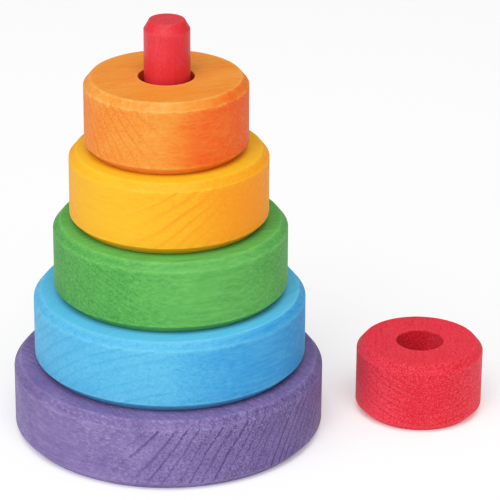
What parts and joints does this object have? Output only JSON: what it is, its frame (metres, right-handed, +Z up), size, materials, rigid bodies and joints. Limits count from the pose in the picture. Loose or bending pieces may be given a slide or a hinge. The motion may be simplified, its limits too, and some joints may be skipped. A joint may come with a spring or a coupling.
{
  "type": "stacking ring toy",
  "caption": "Wooden stacking toy: a round base disc with a glued peg, tapering stained rings loose on the peg, and the smallest ring standing beside the tower.",
  "frame": {"origin": "centre of the base disc's underside, on the peg's axis, at table level", "axes": "+Z up along the peg, +X towards the loose ring beside the tower, -Y towards the front"},
  "size_m": [0.1532, 0.1, 0.1385],
  "materials": {
    "purple_wood": "violet stain on fine-grained hardwood, matte",
    "peg_wood": "red stain on a hardwood dowel, satin",
    "blue_wood": "light blue stain on fine-grained hardwood, matte",
    "green_wood": "green stain on fine-grained hardwood, matte",
    "yellow_wood": "golden yellow stain on fine-grained hardwood, matte",
    "orange_wood": "orange stain on fine-grained hardwood, matte",
    "red_wood": "red stain on fine-grained hardwood, matte"
  },
  "bodies": {
    "base": {"base_disc": "purple_wood", "peg": "peg_wood"},
    "blue_ring": {"ring_blue": "blue_wood"},
    "green_ring": {"ring_green": "green_wood"},
    "yellow_ring": {"ring_yellow": "yellow_wood"},
    "orange_ring": {"ring_orange": "orange_wood"},
    "red_ring": {"ring_red": "red_wood"}
  },
  "joints": [
    {"name": "blue_lift", "type": "slide", "parent": "base", "child": "blue_ring", "axis": [0, 0, 1], "range_m": [0, 0.12]},
    {"name": "green_lift", "type": "slide", "parent": "blue_ring", "child": "green_ring", "axis": [0, 0, 1], "range_m": [0, 0.096]},
    {"name": "yellow_lift", "type": "slide", "parent": "green_ring", "child": "yellow_ring", "axis": [0, 0, 1], "range_m": [0, 0.072]},
    {"name": "orange_lift", "type": "slide", "parent": "yellow_ring", "child": "orange_ring", "axis": [0, 0, 1], "range_m": [0, 0.048]},
    {"name": "red_lift", "type": "slide", "parent": "base", "child": "red_ring", "axis": [0, 0, 1], "range_m": [0, 0.144]}
  ]
}
